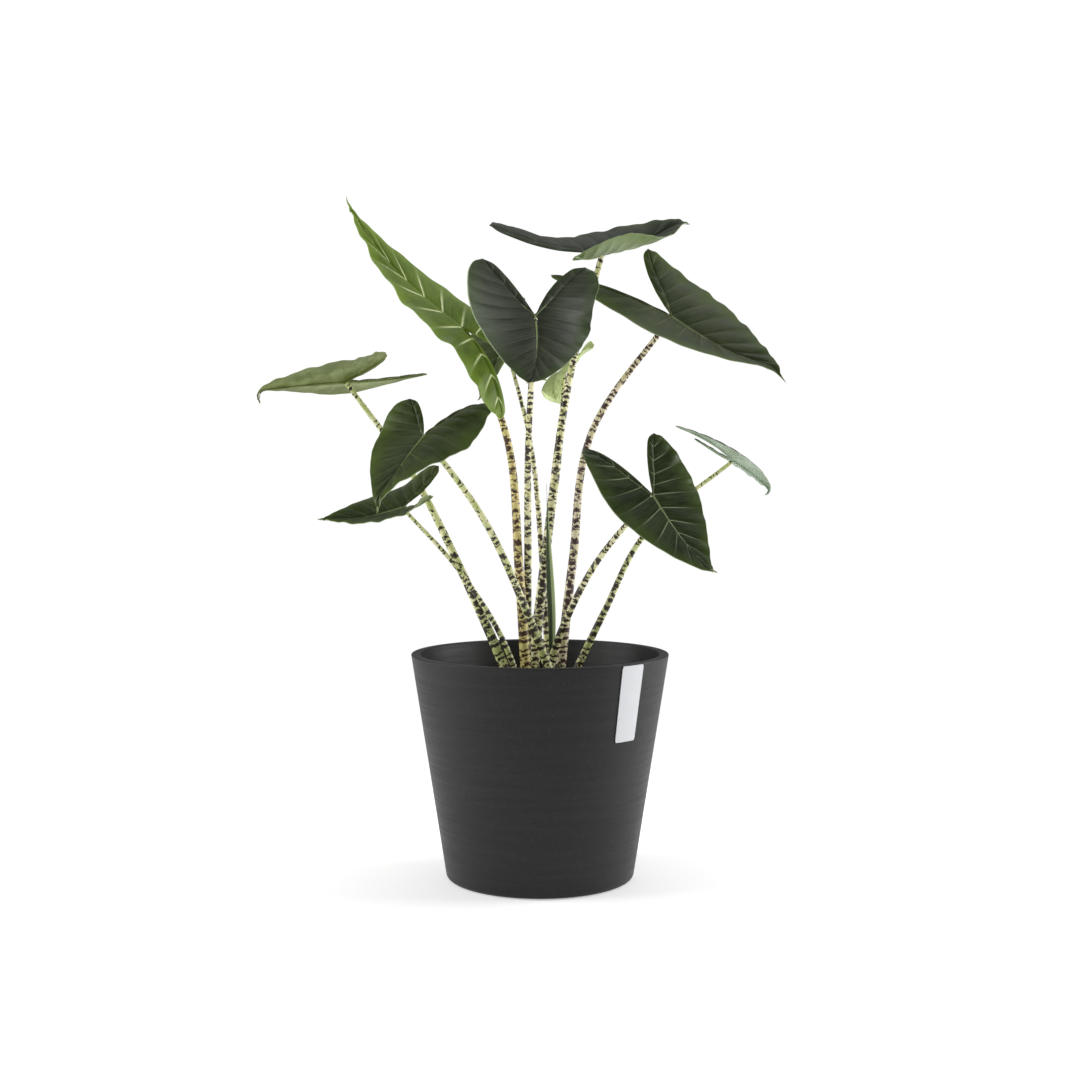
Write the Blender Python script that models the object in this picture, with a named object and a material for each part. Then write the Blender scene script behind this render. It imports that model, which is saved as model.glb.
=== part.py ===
# Potted alocasia: a tapered cachepot with a planted nursery pot inside it, eleven arrow-shaped leaves and an
# unopened one.
# Metres, +Z up. The origin is the centre of the cachepot's base, and the front of the pot faces -Y.
import math

import bmesh
import bpy
from mathutils import Matrix, Vector

# --- driving dimensions ---
GAP = 0.0003                # clearance between pieces that touch

POT_HEIGHT = 0.262
POT_RIM_RADIUS = 0.150
POT_BASE_RADIUS = 0.109
POT_WALL = 0.011
POT_FLOOR = 0.012
POT_SIDES = 48
LIP_BEVEL = 0.0012
BASE_BEVEL = 0.004
ROUND_INSET = 1 - math.sqrt(0.5)     # how far in from its corner a quarter round passes, in radii
SMOOTH_ANGLE = 40                    # edges sharper than this many degrees stay sharp

LABEL_WIDTH = 0.033
LABEL_LENGTH = 0.086
LABEL_THICKNESS = 0.0008
LABEL_ANGLE = math.radians(43.4)     # from the front towards +X
LABEL_TOP = POT_HEIGHT - LIP_BEVEL
LABEL_COLUMNS = 6
LABEL_ROWS = 4

NURSERY_HEIGHT = 0.208
NURSERY_RIM_RADIUS = 0.116
NURSERY_BASE_RADIUS = 0.088
NURSERY_WALL = 0.002
NURSERY_LIP = 0.004
NURSERY_SIDES = 40
DRAIN_HOLES = 6
DRAIN_RADIUS = 0.006
DRAIN_CIRCLE = 0.055
DRAIN_SIDES = 12

SOIL_LEVEL = 0.205
PLANTING_DEPTH = 0.012
POCKET_CLEARANCE = 0.0007
POCKET_SIDES = 16

BLADE_THICKNESS = 0.0012
BLADE_SMOOTH_ANGLE = 80
BLADE_ROUGHNESS = 0.4
WELD_DISTANCE = 0.0001
BLADE_STEPS = 8              # rows of faces from the tip to the stalk
LOBE_STEPS = 6               # rows of faces from the stalk to the end of a lobe
VEIN_STEPS = 3               # faces from the rib to the margin
RIB_STEPS = 24               # straight pieces that a bent rib is added up from
DROOP_POWER = 1.4            # the midrib bends more and more towards the tip
CURL_START = 0.8             # part of the midrib after which the tip curls
LOBE_DROOP_POWER = 1.2
LOBE_FOLD_REACH = 0.9        # part of a lobe over which its extra fold builds up

PETIOLE_POINTS = 16
PETIOLE_TAPER = 0.8
PETIOLE_COLOR = (0.42, 0.40, 0.20)
DIRECTION_STEP = 0.03        # part of a stalk over which the direction of its end is measured

SPEAR_PATH = [
    (0.0125, -0.005, SOIL_LEVEL),
    (0.014, -0.006, 0.290),
    (0.0105, -0.008, 0.375),
    (0.0075, -0.010, 0.459),
]
SPEAR_HALF_WIDTH = 0.0047
SPEAR_HALF_THICKNESS = 0.0014
SPEAR_RINGS = 14
SPEAR_SIDES = 8
SPEAR_FOOT = 0.45            # half width at the soil, as a part of the full one
SPEAR_SWELL_END = 0.45       # the sheath is full width from here
SPEAR_NARROW_START = 0.5     # and narrows from here
SPEAR_NARROW_RUN = 0.62
SPEAR_TIP_THICKNESS = 0.6    # as a part of the full one
SPEAR_POCKET = 0.6           # radius of its pocket in the mix, in half widths

# Half outline of an arrow-shaped blade. x is in half widths. y is in blade lengths ahead of the stalk, and in
# lobe lengths behind it.
OUTER_MARGIN = [
    (0.0, 1.0), (0.05, 0.945), (0.22, 0.80), (0.50, 0.57), (0.78, 0.30),
    (0.97, 0.04), (1.0, -0.28), (0.93, -0.62), (0.78, -0.88), (0.60, -1.0),
]
INNER_MARGIN = [(0.0, 0.0), (0.07, -0.18), (0.17, -0.42), (0.30, -0.70), (0.44, -0.93), (0.60, -1.0)]
LOBE_RIB = [(0.0, 0.0), (0.20, -0.26), (0.40, -0.62), (0.60, -1.0)]
STALK_VEIN = 5 / 9           # where the vein from the stalk meets the outer margin, as a part of that margin

# One entry for each leaf. Angles are in degrees, and pairs are (left side, right side) seen from the stalk
# towards the tip. heading: where the tip points, 0 along +X and 90 along +Y. pitch: above the horizon.
# roll: lifts the left side. fold: lifts each side from the midrib. cup: bend of each side out to its margin.
# stalk: the petiole's way up, from the soil to just under the blade.
LEAVES = {
    "left_high": {
        "heading": 175, "pitch": 37, "roll": -23,
        "length": 0.190, "half_width": 0.059, "lobes": (0.117, 0.110),
        "fold": (-4, 12), "cup": (10, -21), "droop": -27, "tip_curl": -1,
        "lobe_droop": (40, 10), "lobe_fold": (-22, 0),
        "stalk": [(-0.014, -0.013), (-0.024, -0.028, 0.361),
                  (-0.037, -0.024, 0.508), (-0.088, -0.045, 0.636)],
        "base_radius": 0.0068, "top_radius": 0.0030, "color": (0.16, 0.27, 0.06),
    },
    "front_high": {
        "heading": -54, "pitch": -78, "roll": 1,
        "length": 0.078, "half_width": 0.093, "lobes": (0.062, 0.063),
        "fold": (10, -7), "cup": (-42, 29), "droop": 51, "tip_curl": 28,
        "lobe_droop": (-43, 17), "lobe_fold": (15, 0),
        "stalk": [(-0.016, 0.013), (-0.014, -0.020, 0.358),
                  (-0.013, -0.073, 0.503), (-0.005, -0.110, 0.643)],
        "base_radius": 0.0055, "top_radius": 0.0028, "color": (0.055, 0.070, 0.055),
    },
    "top": {
        "heading": 30, "pitch": 13, "roll": 21,
        "length": 0.128, "half_width": 0.078, "lobes": (0.141, 0.070),
        "fold": (19, 2), "cup": (-42, 60), "droop": -28, "tip_curl": 55,
        "lobe_droop": (-22, -4), "lobe_fold": (20, -1),
        "stalk": [(-0.013, 0.027), (0.009, 0.029, 0.394),
                  (0.033, 0.045, 0.573), (0.074, 0.050, 0.732)],
        "base_radius": 0.0068, "top_radius": 0.0032, "color": (0.070, 0.085, 0.065),
    },
    "right_high": {
        "heading": -33, "pitch": -33, "roll": 18,
        "length": 0.162, "half_width": 0.082, "lobes": (0.098, 0.146),
        "fold": (24, 7), "cup": (-37, 3), "droop": -23, "tip_curl": 44,
        "lobe_droop": (-30, 20), "lobe_fold": (-4, -2),
        "stalk": [(0.020, 0.008), (0.038, 0.010, 0.366),
                  (0.060, 0.006, 0.518), (0.152, 0.000, 0.652)],
        "base_radius": 0.0065, "top_radius": 0.0030, "color": (0.060, 0.085, 0.045),
    },
    "left_middle": {
        "heading": 203, "pitch": -5, "roll": 23,
        "length": 0.116, "half_width": 0.053, "lobes": (0.050, 0.114),
        "fold": (13, 19), "cup": (-19, -22), "droop": 5, "tip_curl": 95,
        "lobe_droop": (-17, -4), "lobe_fold": (9, 9),
        "stalk": [(-0.022, -0.025), (-0.082, -0.010, 0.339),
                  (-0.146, 0.010, 0.465), (-0.227, 0.015, 0.578)],
        "base_radius": 0.0065, "top_radius": 0.0026, "color": (0.080, 0.100, 0.060),
    },
    "left_front": {
        "heading": -117, "pitch": -32, "roll": 10,
        "length": 0.129, "half_width": 0.060, "lobes": (0.095, 0.056),
        "fold": (11, 18), "cup": (-72, -18), "droop": 9, "tip_curl": 37,
        "lobe_droop": (34, -25), "lobe_fold": (17, 15),
        "stalk": [(0.026, -0.047), (-0.015, -0.060, 0.316),
                  (-0.063, -0.079, 0.421), (-0.128, -0.096, 0.513)],
        "base_radius": 0.0058, "top_radius": 0.0028, "color": (0.055, 0.075, 0.050),
    },
    "left_low": {
        "heading": 187, "pitch": -17, "roll": -23,
        "length": 0.093, "half_width": 0.061, "lobes": (0.036, 0.060),
        "fold": (6, 17), "cup": (24, -41), "droop": -26, "tip_curl": 14,
        "lobe_droop": (-1, -20), "lobe_fold": (14, 13),
        "stalk": [(-0.014, -0.038), (-0.045, -0.041, 0.287),
                  (-0.094, -0.047, 0.364), (-0.156, -0.050, 0.433)],
        "base_radius": 0.0040, "top_radius": 0.0020, "color": (0.065, 0.085, 0.050),
    },
    "right_front": {
        "heading": -48, "pitch": -49, "roll": 17,
        "length": 0.128, "half_width": 0.055, "lobes": (0.071, 0.095),
        "fold": (19, -10), "cup": (-29, 9), "droop": -20, "tip_curl": -21,
        "lobe_droop": (-20, 30), "lobe_fold": (4, 11),
        "stalk": [(0.001, -0.027), (0.024, -0.052, 0.292),
                  (0.065, -0.077, 0.375), (0.124, -0.100, 0.448)],
        "base_radius": 0.0055, "top_radius": 0.0026, "color": (0.050, 0.070, 0.045),
    },
    "right_middle": {
        "heading": -12, "pitch": -32, "roll": -23,
        "length": 0.063, "half_width": 0.052, "lobes": (0.056, 0.078),
        "fold": (8, 10), "cup": (16, -38), "droop": 19, "tip_curl": 97,
        "lobe_droop": (3, 18), "lobe_fold": (5, -3),
        "stalk": [(0.028, 0.036), (0.076, 0.035, 0.306),
                  (0.127, 0.037, 0.402), (0.229, 0.040, 0.486)],
        "base_radius": 0.0052, "top_radius": 0.0022, "color": (0.090, 0.120, 0.120),
    },
    "back_left": {
        "heading": -123, "pitch": -60, "roll": 12,
        "length": 0.089, "half_width": 0.050, "lobes": (0.046, 0.054),
        "fold": (20, 22), "cup": (-1, -14), "droop": -10, "tip_curl": -5,
        "lobe_droop": (0, -19), "lobe_fold": (8, 11),
        "stalk": [(0.012, 0.061), (0.003, 0.072, 0.358),
                  (-0.011, 0.077, 0.504), (-0.043, 0.090, 0.632)],
        "base_radius": 0.0045, "top_radius": 0.0020, "color": (0.050, 0.070, 0.050),
    },
    "back_right": {
        "heading": -110, "pitch": -3, "roll": 16,
        "length": 0.078, "half_width": 0.046, "lobes": (0.043, 0.058),
        "fold": (25, -5), "cup": (-9, -70), "droop": 68, "tip_curl": 25,
        "lobe_droop": (-17, 49), "lobe_fold": (18, -17),
        "stalk": [(-0.008, 0.073), (0.006, 0.090, 0.355),
                  (0.023, 0.095, 0.487), (0.030, 0.110, 0.596)],
        "base_radius": 0.0050, "top_radius": 0.0024, "color": (0.200, 0.280, 0.120),
    },
}
LEFT, RIGHT = 0, 1


def clear_scene():
    for item in list(bpy.data.objects):
        bpy.data.objects.remove(item, do_unlink=True)


def make_material(name, color, roughness, metallic=0.0):
    material = bpy.data.materials.new(name)
    material.use_nodes = True
    shader = material.node_tree.nodes["Principled BSDF"]
    shader.inputs["Base Color"].default_value = (*color, 1.0)
    shader.inputs["Roughness"].default_value = roughness
    shader.inputs["Metallic"].default_value = metallic
    material.diffuse_color = (*color, 1.0)
    return material


def add_object(name, data, material):
    item = bpy.data.objects.new(name, data)
    bpy.context.collection.objects.link(item)
    item.data.materials.append(material)
    return item


def mesh_from(name, mesh_builder, material, sharp_angle=SMOOTH_ANGLE):
    mesh = bpy.data.meshes.new(name)
    mesh_builder.to_mesh(mesh)
    mesh_builder.free()
    mesh.shade_smooth()
    mesh.set_sharp_from_angle(angle=math.radians(sharp_angle))
    return add_object(name, mesh, material)


def catmull_rom(points, amount):
    # Point on the smooth curve through the points, with amount from 0 to 1.
    places = [Vector(point) for point in points]
    padded = [2 * places[0] - places[1], *places, 2 * places[-1] - places[-2]]
    scaled = min(max(amount, 0.0), 1.0) * (len(places) - 1)
    index = min(int(scaled), len(places) - 2)
    part = scaled - index
    before, start, end, after = padded[index:index + 4]
    return 0.5 * (
        2 * start
        + (end - before) * part
        + (2 * before - 5 * start + 4 * end - after) * part ** 2
        + (3 * start - before - 3 * end + after) * part ** 3
    )


def smooth_step(value):
    value = min(max(value, 0.0), 1.0)
    return value * value * (3 - 2 * value)


def turned(name, profile, sides, material):
    # A closed body of revolution about Z from an outline of (radius, height), with both ends on the axis.
    build = bmesh.new()
    rings = []
    for radius, height in profile:
        if radius == 0:
            rings.append([build.verts.new((0, 0, height))])
            continue
        ring = []
        for side in range(sides):
            angle = 2 * math.pi * side / sides
            ring.append(build.verts.new((radius * math.cos(angle), radius * math.sin(angle), height)))
        rings.append(ring)
    for lower, upper in zip(rings, rings[1:]):
        for side in range(sides):
            after = (side + 1) % sides
            low = [lower[side % len(lower)], lower[after % len(lower)]]
            high = [upper[after % len(upper)], upper[side % len(upper)]]
            build.faces.new(list(dict.fromkeys(low + high)))
    bmesh.ops.recalc_face_normals(build, faces=build.faces)
    return mesh_from(name, build, material)


def pot_radius(height):
    return POT_BASE_RADIUS + (POT_RIM_RADIUS - POT_BASE_RADIUS) * height / POT_HEIGHT


def nursery_radius(height):
    return NURSERY_BASE_RADIUS + (NURSERY_RIM_RADIUS - NURSERY_BASE_RADIUS) * height / NURSERY_HEIGHT


def make_cachepot():
    inner_rim = POT_RIM_RADIUS - POT_WALL
    profile = [
        (0, 0),
        (POT_BASE_RADIUS - BASE_BEVEL, 0),
        (POT_BASE_RADIUS - BASE_BEVEL * ROUND_INSET, BASE_BEVEL * ROUND_INSET),
        (pot_radius(BASE_BEVEL), BASE_BEVEL),
        (pot_radius(POT_HEIGHT - LIP_BEVEL), POT_HEIGHT - LIP_BEVEL),
        (POT_RIM_RADIUS - LIP_BEVEL, POT_HEIGHT),
        (inner_rim + LIP_BEVEL, POT_HEIGHT),
        (inner_rim, POT_HEIGHT - LIP_BEVEL),
        (pot_radius(POT_FLOOR) - POT_WALL, POT_FLOOR),
        (0, POT_FLOOR),
    ]
    turned("cachepot", profile, POT_SIDES, make_material("glazed_stone", (0.075, 0.080, 0.085), 0.55))


def make_label():
    # A thin strip that lies against the outside of the pot, below the rim.
    build = bmesh.new()
    half_angle = LABEL_WIDTH / 2 / POT_RIM_RADIUS
    grid = []
    for row in range(LABEL_ROWS + 1):
        height = LABEL_TOP - LABEL_LENGTH * row / LABEL_ROWS
        radius = pot_radius(height) + GAP + LABEL_THICKNESS
        line = []
        for column in range(LABEL_COLUMNS + 1):
            angle = LABEL_ANGLE + half_angle * (2 * column / LABEL_COLUMNS - 1)
            line.append(build.verts.new((radius * math.sin(angle), -radius * math.cos(angle), height)))
        grid.append(line)
    for upper, lower in zip(grid, grid[1:]):
        for column in range(LABEL_COLUMNS):
            build.faces.new((upper[column], lower[column], lower[column + 1], upper[column + 1]))
    strip = mesh_from("label_strip", build, make_material("label_white", (0.85, 0.85, 0.84), 0.45))
    thicken(strip, LABEL_THICKNESS)


def thicken(item, thickness):
    solidify = item.modifiers.new("thickness", "SOLIDIFY")
    solidify.thickness = thickness
    solidify.offset = -1


def make_nursery_pot():
    bottom = POT_FLOOR + GAP
    top = bottom + NURSERY_HEIGHT
    lip_bottom = top - NURSERY_LIP * 2
    profile = [
        (0, bottom),
        (NURSERY_BASE_RADIUS, bottom),
        (nursery_radius(lip_bottom - bottom), lip_bottom),
        (nursery_radius(lip_bottom - bottom) + NURSERY_LIP, lip_bottom),
        (NURSERY_RIM_RADIUS + NURSERY_LIP, top),
        (NURSERY_RIM_RADIUS - NURSERY_WALL, top),
        (NURSERY_BASE_RADIUS - NURSERY_WALL, bottom + NURSERY_WALL),
        (0, bottom + NURSERY_WALL),
    ]
    plastic = make_material("nursery_plastic", (0.03, 0.03, 0.03), 0.5)
    pot = turned("nursery_pot", profile, NURSERY_SIDES, plastic)
    for hole in range(DRAIN_HOLES):
        angle = 2 * math.pi * (hole + 0.5) / DRAIN_HOLES
        place = Vector((DRAIN_CIRCLE * math.cos(angle), DRAIN_CIRCLE * math.sin(angle), bottom))
        name = f"drain_cutter_{hole}"
        drill(pot, name, place, Vector((0, 0, 1)), DRAIN_RADIUS, NURSERY_WALL * 3, DRAIN_SIDES)


def drill(item, name, centre, direction, radius, length, sides):
    # Cuts a round hole through the item, along the direction and centred on the point.
    build = bmesh.new()
    bmesh.ops.create_cone(build, cap_ends=True, segments=sides, radius1=radius, radius2=radius, depth=length)
    turn = Vector((0, 0, 1)).rotation_difference(direction).to_matrix().to_4x4()
    build.transform(Matrix.Translation(centre) @ turn)
    mesh = bpy.data.meshes.new(name)
    build.to_mesh(mesh)
    build.free()
    cutter = bpy.data.objects.new(name, mesh)
    bpy.context.collection.objects.link(cutter)
    cutter.hide_render = True
    cutter.display_type = "WIRE"
    cut = item.modifiers.new(name, "BOOLEAN")
    cut.operation = "DIFFERENCE"
    cut.solver = "EXACT"
    cut.object = cutter


def make_potting_mix(planted):
    # The filling of the nursery pot, with a pocket for each stem. planted holds (root, direction, radius).
    bottom = POT_FLOOR + GAP
    low = bottom + NURSERY_WALL + GAP
    profile = [
        (0, low),
        (NURSERY_BASE_RADIUS - NURSERY_WALL - GAP * 3, low),
        (nursery_radius(SOIL_LEVEL - bottom) - NURSERY_WALL - GAP * 3, SOIL_LEVEL),
        (0, SOIL_LEVEL),
    ]
    damp_bark = make_material("potting_mix", (0.035, 0.025, 0.018), 0.95)
    mix = turned("potting_mix", profile, NURSERY_SIDES, damp_bark)
    for number, (root, direction, radius) in enumerate(planted):
        name = f"pocket_cutter_{number}"
        length = 2 * (PLANTING_DEPTH + 4 * GAP)
        drill(mix, name, root, direction, radius + POCKET_CLEARANCE, length, POCKET_SIDES)


def rooted_path(stalk):
    root = Vector((*stalk[0], SOIL_LEVEL))
    return [root, *(Vector(point) for point in stalk[1:])]


def root_direction(path):
    return (catmull_rom(path, DIRECTION_STEP) - path[0]).normalized()


def blade_axes(leaf):
    # Columns: the blade's right, its tip direction and its upper side.
    heading, pitch, roll = (math.radians(leaf[key]) for key in ("heading", "pitch", "roll"))
    level_ahead = Vector((math.cos(heading), math.sin(heading), 0))
    ahead = math.cos(pitch) * level_ahead + Vector((0, 0, math.sin(pitch)))
    level_right = Vector((math.sin(heading), -math.cos(heading), 0))
    level_up = level_right.cross(ahead)
    right = math.cos(roll) * level_right - math.sin(roll) * level_up
    up = math.cos(roll) * level_up + math.sin(roll) * level_right
    return Matrix((right, ahead, up)).transposed()


def rib_curve(leaf, side, along):
    # Height profile of the midrib (along > 0) or of a lobe (along < 0): place ahead, rise and slope there.
    if along >= 0:
        length, reach = leaf["length"], along
    else:
        length, reach = leaf["lobes"][side], -along
    piece = length * reach / RIB_STEPS
    ahead = rise = 0.0
    for step in range(RIB_STEPS):
        slope = rib_slope(leaf, side, along, reach * (step + 0.5) / RIB_STEPS)
        ahead += piece * math.cos(slope)
        rise += piece * math.sin(slope)
    slope = rib_slope(leaf, side, along, reach)
    if along < 0:
        return -ahead, -rise, slope
    return ahead, rise, slope


def rib_slope(leaf, side, along, reach):
    if along >= 0:
        curl = leaf["tip_curl"] * smooth_step((reach - CURL_START) / (1 - CURL_START))
        return -math.radians(leaf["droop"] * reach ** DROOP_POWER + curl)
    return math.radians(leaf["lobe_droop"][side] * reach ** LOBE_DROOP_POWER)


def blade_point(leaf, side, across, along):
    # From the flat outline to the folded, cupped and drooping blade, in the leaf's own axes.
    ahead, rise, slope = rib_curve(leaf, side, along)
    back = smooth_step(-along / LOBE_FOLD_REACH)
    fold = math.radians(leaf["fold"][side] + leaf["lobe_fold"][side] * back)
    bend = math.radians(leaf["cup"][side]) or 1e-4
    width = leaf["half_width"]
    out = width * (math.sin(fold + bend * across) - math.sin(fold)) / bend
    lift = width * (math.cos(fold) - math.cos(fold + bend * across)) / bend
    mirror = -1 if side == LEFT else 1
    return Vector((mirror * out, ahead - lift * math.sin(slope), rise + lift * math.cos(slope)))


def blade_rows(side):
    # Rows of flat outline points, each from a rib out to the margin, from the tip to the end of the lobe.
    rows = []
    for step in range(BLADE_STEPS + 1):
        part = step / BLADE_STEPS
        rib = Vector((0, 1 - part))
        margin = catmull_rom(OUTER_MARGIN, part * STALK_VEIN)
        rows.append([rib.lerp(margin, count / VEIN_STEPS) for count in range(VEIN_STEPS + 1)])
    lobe = []
    for step in range(1, LOBE_STEPS + 1):
        part = step / LOBE_STEPS
        rib = catmull_rom(LOBE_RIB, part)
        margin = catmull_rom(OUTER_MARGIN, STALK_VEIN + part * (1 - STALK_VEIN))
        inner = catmull_rom(INNER_MARGIN, part)
        rows.append([rib.lerp(margin, count / VEIN_STEPS) for count in range(VEIN_STEPS + 1)])
        lobe.append((inner, rib))
    return rows, [(Vector((0, 0)), Vector((0, 0))), *lobe]


def make_blade(name, leaf):
    axes = blade_axes(leaf)
    origin = Vector(leaf["stalk"][-1])
    build = bmesh.new()
    for side in (LEFT, RIGHT):
        rows, strip = blade_rows(side)
        for lines in (rows, strip):
            grid = []
            for line in lines:
                points = [origin + axes @ blade_point(leaf, side, max(place.x, 0), place.y) for place in line]
                grid.append([build.verts.new(point) for point in points])
            for near, far in zip(grid, grid[1:]):
                for count in range(len(near) - 1):
                    build.faces.new((near[count], near[count + 1], far[count + 1], far[count]))
    bmesh.ops.remove_doubles(build, verts=build.verts, dist=WELD_DISTANCE)
    bmesh.ops.recalc_face_normals(build, faces=build.faces)
    upward = sum(face.normal.dot(axes.col[2]) * face.calc_area() for face in build.faces)
    if upward < 0:
        bmesh.ops.reverse_faces(build, faces=build.faces)
    bmesh.ops.triangulate(build, faces=build.faces)
    material = make_material(f"blade_{name}", leaf["color"], BLADE_ROUGHNESS)
    blade = mesh_from(f"blade_{name}", build, material, BLADE_SMOOTH_ANGLE)
    thicken(blade, BLADE_THICKNESS)


def make_petiole(name, leaf):
    path = rooted_path(leaf["stalk"])
    end_direction = (path[-1] - catmull_rom(path, 1 - DIRECTION_STEP)).normalized()
    under = -blade_axes(leaf).col[2]
    tilt = math.sqrt(max(0.0, 1 - end_direction.dot(under) ** 2))
    seat = BLADE_THICKNESS + 3 * GAP + leaf["top_radius"] * tilt
    points = [(path[0] - root_direction(path) * PLANTING_DEPTH, leaf["base_radius"])]
    for step in range(PETIOLE_POINTS + 1):
        amount = step / PETIOLE_POINTS
        radius = leaf["base_radius"] + (leaf["top_radius"] - leaf["base_radius"]) * amount ** PETIOLE_TAPER
        points.append((catmull_rom(path, amount), radius))
    points[-1] = (path[-1] + under * seat, leaf["top_radius"])
    curve = bpy.data.curves.new(f"petiole_{name}", "CURVE")
    curve.dimensions = "3D"
    curve.bevel_depth = 1.0
    curve.bevel_resolution = 2
    curve.render_resolution_u = 0
    curve.use_fill_caps = True
    spline = curve.splines.new("POLY")
    spline.points.add(len(points) - 1)
    for slot, (place, radius) in zip(spline.points, points):
        slot.co = (*place, 1.0)
        slot.radius = radius
    add_object(f"petiole_{name}", curve, make_material(f"petiole_{name}", PETIOLE_COLOR, 0.5))
    return path[0], root_direction(path), leaf["base_radius"]


def make_spear():
    # A leaf that hasn't opened yet: a thin flat sheath that rises from the soil to a point.
    path = [Vector(point) for point in SPEAR_PATH]
    build = bmesh.new()
    rings = []
    base = path[0] - root_direction(path) * PLANTING_DEPTH
    for ring_number in range(SPEAR_RINGS + 1):
        amount = ring_number / SPEAR_RINGS
        centre = base if ring_number == 0 else catmull_rom(path, (ring_number - 1) / SPEAR_RINGS)
        swell = SPEAR_FOOT + (1 - SPEAR_FOOT) * smooth_step(amount / SPEAR_SWELL_END)
        narrow = 1 - smooth_step((amount - SPEAR_NARROW_START) / SPEAR_NARROW_RUN)
        thick = SPEAR_TIP_THICKNESS + (1 - SPEAR_TIP_THICKNESS) * narrow
        ring = []
        for side in range(SPEAR_SIDES):
            angle = 2 * math.pi * side / SPEAR_SIDES
            across = SPEAR_HALF_WIDTH * swell * narrow * math.cos(angle)
            deep = SPEAR_HALF_THICKNESS * thick * math.sin(angle)
            ring.append(build.verts.new(centre + Vector((across, deep, 0))))
        rings.append(ring)
    for lower, upper in zip(rings, rings[1:]):
        for side in range(SPEAR_SIDES):
            after = (side + 1) % SPEAR_SIDES
            build.faces.new((lower[side], lower[after], upper[after], upper[side]))
    build.faces.new(rings[0])
    tip = build.verts.new(path[-1])
    for side in range(SPEAR_SIDES):
        build.faces.new((rings[-1][side], rings[-1][(side + 1) % SPEAR_SIDES], tip))
    bmesh.ops.recalc_face_normals(build, faces=build.faces)
    mesh_from("spear", build, make_material("spear", (0.16, 0.22, 0.09), 0.45))
    return path[0], root_direction(path), SPEAR_HALF_WIDTH * SPEAR_POCKET


def main():
    clear_scene()
    make_cachepot()
    make_label()
    make_nursery_pot()
    planted = []
    for name, leaf in LEAVES.items():
        make_blade(name, leaf)
        planted.append(make_petiole(name, leaf))
    planted.append(make_spear())
    make_potting_mix(planted)


main()
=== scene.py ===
import math
import random
import bmesh
import bpy
from mathutils import Matrix, Vector, noise


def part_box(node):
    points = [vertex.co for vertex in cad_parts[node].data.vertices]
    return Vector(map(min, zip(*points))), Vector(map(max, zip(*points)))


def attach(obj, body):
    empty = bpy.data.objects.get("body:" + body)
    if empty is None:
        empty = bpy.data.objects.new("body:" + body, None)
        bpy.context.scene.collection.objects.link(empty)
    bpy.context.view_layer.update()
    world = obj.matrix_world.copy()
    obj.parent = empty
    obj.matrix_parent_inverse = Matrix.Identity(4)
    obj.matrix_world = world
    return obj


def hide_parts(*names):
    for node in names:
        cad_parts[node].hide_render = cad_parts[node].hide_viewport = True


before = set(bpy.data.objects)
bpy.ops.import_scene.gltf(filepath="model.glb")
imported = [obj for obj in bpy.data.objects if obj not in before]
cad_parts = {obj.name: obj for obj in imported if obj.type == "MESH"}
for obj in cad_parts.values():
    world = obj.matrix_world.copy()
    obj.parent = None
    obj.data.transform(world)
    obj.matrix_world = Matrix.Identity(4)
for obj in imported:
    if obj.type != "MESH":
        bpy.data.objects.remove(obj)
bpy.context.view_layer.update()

random.seed(7)
print("frame loaded:", len(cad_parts), "pieces")


def deselectAll():
    if bpy.context.object and bpy.context.object.mode != "OBJECT":
        bpy.ops.object.mode_set(mode="OBJECT")
    bpy.ops.object.select_all(action="DESELECT")


def newPiece(name):
    piece = bpy.context.object          # what the last primitive made
    piece.name = name
    piece.data.name = name
    return piece


def selectOnly(piece):
    deselectAll()
    piece.select_set(True)
    bpy.context.view_layer.objects.active = piece


def applyPlace(piece):
    selectOnly(piece)
    bpy.ops.object.transform_apply(location=True, rotation=True, scale=True)


def applyModifiers(piece):
    selectOnly(piece)
    for modifier in list(piece.modifiers):
        bpy.ops.object.modifier_apply(modifier=modifier.name)


def joinPieces(name, pieces):
    deselectAll()
    for piece in pieces:
        piece.select_set(True)
    bpy.context.view_layer.objects.active = pieces[0]
    if len(pieces) > 1:
        bpy.ops.object.join()
    return newPiece(name)


def smoothShade(piece, degrees=40):
    selectOnly(piece)
    bpy.ops.object.shade_smooth_by_angle(angle=math.radians(degrees))


def finishPiece(piece, slotName, *nodes):
    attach(piece, "root")
    if nodes:
        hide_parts(*nodes)


def smoothStep(value):
    value = min(max(value, 0.0), 1.0)
    return value * value * (3 - 2 * value)


def curvePoint(points, amount):
    # point on the smooth curve through the points, amount from 0 to 1
    places = [Vector(point) for point in points]
    padded = [2 * places[0] - places[1], *places, 2 * places[-1] - places[-2]]
    scaled = min(max(amount, 0.0), 1.0) * (len(places) - 1)
    index = min(int(scaled), len(places) - 2)
    part = scaled - index
    a, b, c, d = padded[index:index + 4]
    first = (c - a) * part
    second = (2 * a - 5 * b + 4 * c - d) * part ** 2
    third = (3 * b - a - 3 * c + d) * part ** 3
    return 0.5 * (2 * b + first + second + third)


def faceOutwards(piece, outward):
    # turns an open sheet over if most of it faces away from outward(centre)
    total = sum(face.normal.dot(outward(face.center)) * face.area for face in piece.data.polygons)
    if total < 0:
        piece.data.flip_normals()


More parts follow.
